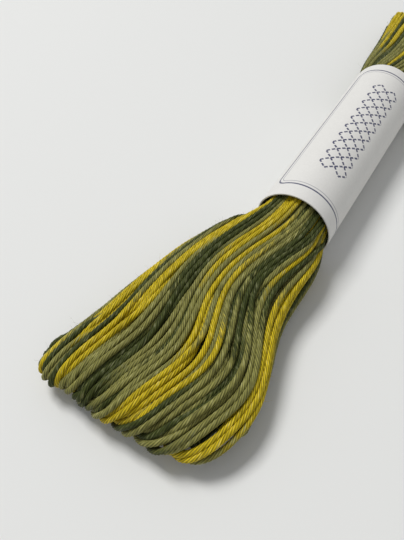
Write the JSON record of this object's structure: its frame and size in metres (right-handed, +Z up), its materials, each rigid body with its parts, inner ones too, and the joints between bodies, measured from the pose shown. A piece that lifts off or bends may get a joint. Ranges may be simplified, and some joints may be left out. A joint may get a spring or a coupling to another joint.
{
  "type": "skein of sashiko thread with paper band",
  "caption": "Skein of variegated cotton sashiko thread for hand stitching, its looped ends spread out and its waist drawn in by a white paper band.",
  "frame": {"origin": "on the table, under the middle of the part's bounding box", "axes": "+X along the skein from its near end to its far end, +Y to its left side seen from the near end, +Z up"},
  "size_m": [0.1456, 0.0406, 0.0146],
  "materials": {
    "thread": "matte plied cotton, dyed along its length in mustard yellow, grey olive and dark green",
    "paper": "smooth white paper with thin printed border lines and a small printed lattice of stitches"
  },
  "bodies": {
    "root": {"skein": "thread", "paper_band": "paper"}
  },
  "joints": []
}
